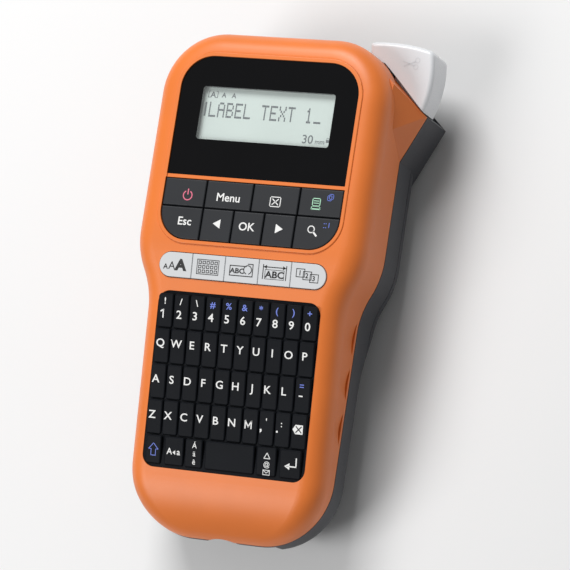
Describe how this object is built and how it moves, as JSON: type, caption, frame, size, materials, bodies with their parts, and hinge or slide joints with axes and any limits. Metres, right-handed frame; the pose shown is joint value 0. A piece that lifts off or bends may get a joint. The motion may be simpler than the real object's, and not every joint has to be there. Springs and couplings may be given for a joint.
{
  "type": "label maker",
  "caption": "Handheld label maker with display, function keys, letter keypad, side cutter lever, tape drive and power inlet.",
  "frame": {"origin": "on the flat of the back, under the middle of the body", "axes": "+Z out of the keypad face, +Y towards the display end, +X to the right seen from the front"},
  "size_m": [0.1112, 0.2081, 0.0565],
  "materials": {
    "orange_shell": "fine spark texture",
    "dark_shell": "fine spark texture",
    "black_window": "polished",
    "clear_lens": "polished",
    "lcd_glass": "matt front polariser",
    "frame_plastic": "moulded",
    "dark_key": "satin rubber",
    "dome_rubber": "silicone",
    "board": "solder mask",
    "chip": "moulded",
    "mechanism_plastic": "moulded",
    "motor_can": "plated",
    "gear_plastic": "moulded acetal",
    "platen": "ground rubber",
    "head_ceramic": "glazed bead",
    "heatsink": "mill",
    "cassette": "smoked",
    "tape": "laminated film",
    "lever_plastic": "satin gloss",
    "steel": "ground",
    "zinc": "bright zinc",
    "jack_plastic": "moulded",
    "white_key": "satin",
    "cell_jacket": "printed film"
  },
  "bodies": {
    "case": {"front_case": "orange_shell", "rear_case": "dark_shell", "display_window": "black_window", "window_lens": "clear_lens", "lcd_panel": "lcd_glass", "lcd_frame": "frame_plastic", "keypad_mat": "dark_key", "control_dome_sheet": "dome_rubber", "strip_dome_sheet": "dome_rubber", "main_board": "board", "key_board": "board", "board_chips": "chip", "mechanism_chassis": "mechanism_plastic", "drive_motor": "motor_can", "print_head": "head_ceramic", "head_heatsink": "heatsink", "cassette_case": "cassette", "lever_pin": "steel", "lever_spring": "steel", "battery_tray": "frame_plastic", "battery_contacts": "zinc", "battery_springs": "zinc", "dc_inlet": "jack_plastic", "case_screws": "zinc", "chassis_screws": "zinc", "tray_screws": "zinc", "battery_1": "cell_jacket", "battery_2": "cell_jacket", "battery_3": "cell_jacket", "battery_4": "cell_jacket", "battery_5": "cell_jacket", "battery_6": "cell_jacket"},
    "key_power": {"key_power": "dark_key"},
    "key_menu": {"key_menu": "dark_key"},
    "key_clear": {"key_clear": "dark_key"},
    "key_print": {"key_print": "dark_key"},
    "key_escape": {"key_escape": "dark_key"},
    "key_left": {"key_left": "dark_key"},
    "key_ok": {"key_ok": "dark_key"},
    "key_right": {"key_right": "dark_key"},
    "key_find": {"key_find": "dark_key"},
    "strip_key_font": {"strip_key_font": "white_key"},
    "strip_key_frame": {"strip_key_frame": "white_key"},
    "strip_key_tape": {"strip_key_tape": "white_key"},
    "strip_key_width": {"strip_key_width": "white_key"},
    "strip_key_numbering": {"strip_key_numbering": "white_key"},
    "cover": {"back_cover": "dark_shell"},
    "lever": {"cutter_lever": "lever_plastic", "cutter_blade": "steel"},
    "roll": {"tape_roll": "tape"},
    "platen": {"platen_shaft": "gear_plastic", "platen_rubber": "platen"},
    "idler": {"idler_gear": "gear_plastic"},
    "reduction": {"reduction_gear": "gear_plastic"},
    "rotor": {"motor_pinion": "gear_plastic"},
    "ribbon": {"ribbon_spindle": "gear_plastic"}
  },
  "joints": [
    {"name": "power_key_press", "type": "slide", "parent": "case", "child": "key_power", "axis": [0, 0, -1], "range_m": [0, 0.0008], "stiffness_N_per_m": 1500, "springref_m": -0.0003},
    {"name": "menu_key_press", "type": "slide", "parent": "case", "child": "key_menu", "axis": [0, 0, -1], "range_m": [0, 0.0008], "stiffness_N_per_m": 1500, "springref_m": -0.0003},
    {"name": "clear_key_press", "type": "slide", "parent": "case", "child": "key_clear", "axis": [0, 0, -1], "range_m": [0, 0.0008], "stiffness_N_per_m": 1500, "springref_m": -0.0003},
    {"name": "print_key_press", "type": "slide", "parent": "case", "child": "key_print", "axis": [0, 0, -1], "range_m": [0, 0.0008], "stiffness_N_per_m": 1500, "springref_m": -0.0003},
    {"name": "escape_key_press", "type": "slide", "parent": "case", "child": "key_escape", "axis": [0, 0, -1], "range_m": [0, 0.0008], "stiffness_N_per_m": 1500, "springref_m": -0.0003},
    {"name": "left_key_press", "type": "slide", "parent": "case", "child": "key_left", "axis": [0, 0, -1], "range_m": [0, 0.0008], "stiffness_N_per_m": 1500, "springref_m": -0.0003},
    {"name": "ok_key_press", "type": "slide", "parent": "case", "child": "key_ok", "axis": [0, 0, -1], "range_m": [0, 0.0008], "stiffness_N_per_m": 1500, "springref_m": -0.0003},
    {"name": "right_key_press", "type": "slide", "parent": "case", "child": "key_right", "axis": [0, 0, -1], "range_m": [0, 0.0008], "stiffness_N_per_m": 1500, "springref_m": -0.0003},
    {"name": "find_key_press", "type": "slide", "parent": "case", "child": "key_find", "axis": [0, 0, -1], "range_m": [0, 0.0008], "stiffness_N_per_m": 1500, "springref_m": -0.0003},
    {"name": "font_strip_press", "type": "slide", "parent": "case", "child": "strip_key_font", "axis": [0, 0.1328, -0.9911], "range_m": [0, 0.0008], "stiffness_N_per_m": 1500, "springref_m": -0.0003},
    {"name": "frame_strip_press", "type": "slide", "parent": "case", "child": "strip_key_frame", "axis": [0, 0.1328, -0.9911], "range_m": [0, 0.0008], "stiffness_N_per_m": 1500, "springref_m": -0.0003},
    {"name": "tape_strip_press", "type": "slide", "parent": "case", "child": "strip_key_tape", "axis": [0, 0.1328, -0.9911], "range_m": [0, 0.0008], "stiffness_N_per_m": 1500, "springref_m": -0.0003},
    {"name": "width_strip_press", "type": "slide", "parent": "case", "child": "strip_key_width", "axis": [0, 0.1328, -0.9911], "range_m": [0, 0.0008], "stiffness_N_per_m": 1500, "springref_m": -0.0003},
    {"name": "numbering_strip_press", "type": "slide", "parent": "case", "child": "strip_key_numbering", "axis": [0, 0.1328, -0.9911], "range_m": [0, 0.0008], "stiffness_N_per_m": 1500, "springref_m": -0.0003},
    {"name": "cover_release", "type": "slide", "parent": "case", "child": "cover", "axis": [0, 0, -1], "range_m": [0, 0.03]},
    {"name": "cutter_squeeze", "type": "hinge", "parent": "case", "child": "lever", "pos_m": [0.044, 0.064, 0], "axis": [0, 0, 1], "range_deg": [0, 4.5], "stiffness_Nm_per_rad": 0.6, "springref_deg": -6.88, "deforming": ["lever_spring"]},
    {"name": "tape_roll_spin", "type": "hinge", "parent": "case", "child": "roll", "pos_m": [-0.018, 0.049, 0], "axis": [0, 0, 1], "continuous": true},
    {"name": "platen_spin", "type": "hinge", "parent": "case", "child": "platen", "pos_m": [0.03749, 0.06993, 0], "axis": [0, 0, 1], "continuous": true},
    {"name": "idler_spin", "type": "hinge", "parent": "case", "child": "idler", "pos_m": [0.02501, 0.06539, 0], "axis": [0, 0, 1], "continuous": true},
    {"name": "reduction_spin", "type": "hinge", "parent": "case", "child": "reduction", "pos_m": [0.01413, 0.06539, 0], "axis": [0, 0, 1], "continuous": true},
    {"name": "motor_spin", "type": "hinge", "parent": "case", "child": "rotor", "pos_m": [0.00109, 0.06064, 0], "axis": [0, 0, 1], "continuous": true},
    {"name": "ribbon_spin", "type": "hinge", "parent": "case", "child": "ribbon", "pos_m": [0.01705, 0.05402, 0], "axis": [0, 0, 1], "continuous": true}
  ],
  "couplings": [
    {"joint": "platen_spin", "follows": "tape_roll_spin", "ratio": -4.875},
    {"joint": "idler_spin", "follows": "tape_roll_spin", "ratio": 4.0625},
    {"joint": "reduction_spin", "follows": "tape_roll_spin", "ratio": -8.125},
    {"joint": "motor_spin", "follows": "tape_roll_spin", "ratio": 29.25},
    {"joint": "ribbon_spin", "follows": "tape_roll_spin", "ratio": -4.4318}
  ]
}
